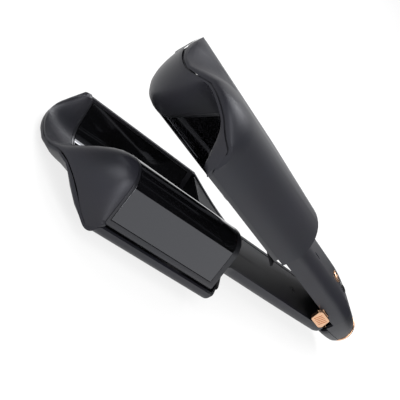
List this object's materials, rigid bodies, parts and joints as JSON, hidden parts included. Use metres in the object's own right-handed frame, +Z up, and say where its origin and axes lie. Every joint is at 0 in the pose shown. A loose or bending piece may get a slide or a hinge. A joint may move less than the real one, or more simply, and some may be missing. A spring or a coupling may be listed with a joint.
{
  "type": "hair waver",
  "caption": "Cordless deep hair waver, two arms on a sprung hinge with matching S-shaped hot plates, tip caps, a sliding lock and controls on the upper arm.",
  "frame": {"origin": "centre of the footprint of the bounding box, on the table under the lower jaw's belly", "axes": "+X along the lower arm towards the hinge end, +Y towards the back across the jaws, +Z up, the way the jaws open"},
  "size_m": [0.2802, 0.083, 0.1025],
  "materials": {
    "shell": "fine matt moulding",
    "tip_cap": "satin moulding",
    "frame": "satin moulding",
    "plate": "gloss ceramic coat",
    "heater": "film with etched tracks",
    "felt": "needled felt",
    "cover": "fine matt moulding",
    "cell": "wrapped cell",
    "steel": "bright",
    "switch": "stamped can",
    "ring": "rose anodised, bright edge",
    "end_cap": "gloss",
    "board": "solder mask",
    "window": "smoked",
    "key": "rose plated",
    "rocker": "gloss",
    "lock": "rose plated"
  },
  "bodies": {
    "lower_arm": {"lower_shell": "shell", "lower_tip_cap": "tip_cap", "lower_frame": "frame", "lower_plate": "plate", "lower_heater": "heater", "lower_felt": "felt", "lower_cover": "cover", "lower_cell": "cell", "lower_screws": "steel"},
    "upper_arm": {"upper_shell": "shell", "upper_tip_cap": "tip_cap", "upper_frame": "frame", "upper_plate": "plate", "upper_heater": "heater", "upper_felt": "felt", "upper_cover": "cover", "upper_cell": "cell", "upper_screws": "steel", "base_lower_cover": "shell", "base_collar": "shell", "base_ring": "ring", "end_cap": "end_cap", "charge_socket": "steel", "hinge_pin": "steel", "torsion_spring": "steel", "control_board": "board", "key_switches": "switch", "status_window": "window"},
    "power_key": {"power_button": "key"},
    "mode_key": {"mode_rocker": "rocker"},
    "lock": {"lock_slider": "lock"}
  },
  "joints": [
    {"name": "jaw_hinge", "type": "hinge", "parent": "lower_arm", "child": "upper_arm", "pos_m": [0.12959, 0, 0.0165], "axis": [0, 1, 0], "range_deg": [-11.5, 0], "stiffness_Nm_per_rad": 1.2, "springref_deg": 34.38},
    {"name": "power_press", "type": "slide", "parent": "upper_arm", "child": "power_key", "axis": [-0.1994, 0, -0.9799], "range_m": [0, 0.0006], "stiffness_N_per_m": 900, "springref_m": -0.0006},
    {"name": "mode_rock", "type": "hinge", "parent": "upper_arm", "child": "mode_key", "pos_m": [0.09429, 0, 0.04113], "axis": [0, 1, 0], "range_deg": [-4, 4], "stiffness_Nm_per_rad": 0.03},
    {"name": "lock_slide", "type": "slide", "parent": "upper_arm", "child": "lock", "axis": [-0.9799, 0, 0.1994], "range_m": [0, 0.0034]}
  ]
}
